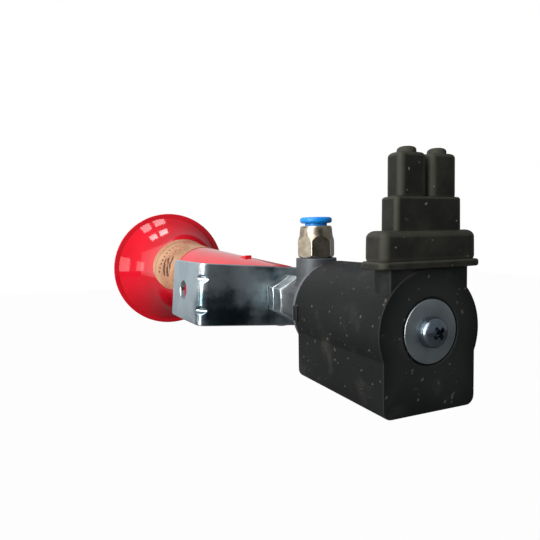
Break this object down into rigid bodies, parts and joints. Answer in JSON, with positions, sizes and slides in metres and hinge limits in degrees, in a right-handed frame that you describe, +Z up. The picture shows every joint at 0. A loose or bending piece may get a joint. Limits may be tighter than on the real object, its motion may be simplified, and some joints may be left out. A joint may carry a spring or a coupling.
{
  "type": "electric air horn",
  "caption": "Straight flared air horn on a solenoid valve with a push-in air fitting, a potted coil with a rubber terminal boot and an L mounting bracket.",
  "frame": {"origin": "centre of the bracket's fixing hole on the flange's outer face", "axes": "+Y along the horn axis towards the bell, +Z up with the coil upright and the air fitting on top, +X from the bracket flange towards the horn axis"},
  "size_m": [0.0998, 0.3483, 0.1057],
  "materials": {
    "zinc_strip": "zinc plated, cloudy",
    "red_moulding": "gloss",
    "kraft_label": "matt, printed",
    "red_cap": "gloss",
    "dark_moulding": "matt",
    "spring_steel": "bright",
    "soft_rubber": "matt",
    "zinc_thread": "zinc plated",
    "zinc_nut": "bright zinc plated",
    "cast_valve": "satin, as cast",
    "turned_brass": "turned",
    "steel_tube": "drawn",
    "soft_iron": "turned",
    "zinc_washer": "zinc plated, dull",
    "zinc_screw": "zinc plated",
    "nickel_fitting": "nickel plated",
    "black_potting": "matt, moulded",
    "copper_wire": "enamelled copper",
    "tin_blade": "tinned",
    "boot_rubber": "matt, dusty",
    "blue_button": "semi-gloss"
  },
  "bodies": {
    "bracket": {"mounting_bracket": "zinc_strip"},
    "horn": {"trumpet": "red_moulding", "trumpet_label": "kraft_label", "chamber_cap": "red_cap", "throat_insert": "dark_moulding", "diaphragm": "spring_steel", "diaphragm_gasket": "soft_rubber", "threaded_stem": "zinc_thread", "lock_nut": "zinc_nut", "jam_nut": "zinc_nut", "valve_body": "cast_valve", "valve_seat": "turned_brass", "armature_tube": "steel_tube", "tube_o_ring": "soft_rubber", "fixed_core": "soft_iron", "coil_washer": "zinc_washer", "coil_screw": "zinc_screw", "plunger_spring": "spring_steel", "fitting_body": "nickel_fitting", "fitting_seal": "soft_rubber", "tube_packing": "soft_rubber", "claw_ring": "spring_steel", "claw_keeper": "turned_brass"},
    "coil": {"coil_housing": "black_potting", "coil_bobbin": "dark_moulding", "copper_winding": "copper_wire", "magnet_frame": "soft_iron", "terminal_blade_1": "tin_blade", "terminal_blade_2": "tin_blade", "terminal_boot": "boot_rubber"},
    "plunger": {"plunger": "soft_iron", "plunger_pad": "soft_rubber"},
    "release_button": {"release_button": "blue_button"}
  },
  "joints": [
    {"name": "bracket_swivel", "type": "hinge", "parent": "bracket", "child": "horn", "pos_m": [0.04446, 0, -0.00362], "axis": [0, 1, 0], "continuous": true},
    {"name": "coil_turn", "type": "hinge", "parent": "horn", "child": "coil", "pos_m": [0.04446, 0, -0.00362], "axis": [0, 1, 0], "continuous": true},
    {"name": "plunger_lift", "type": "slide", "parent": "horn", "child": "plunger", "axis": [0, -1, 0], "range_m": [0, 0.002], "stiffness_N_per_m": 250, "springref_m": -0.006, "deforming": ["plunger_spring"]},
    {"name": "button_press", "type": "slide", "parent": "horn", "child": "release_button", "axis": [0, 0, -1], "range_m": [0, 0.001], "stiffness_N_per_m": 400, "springref_m": -0.001}
  ]
}
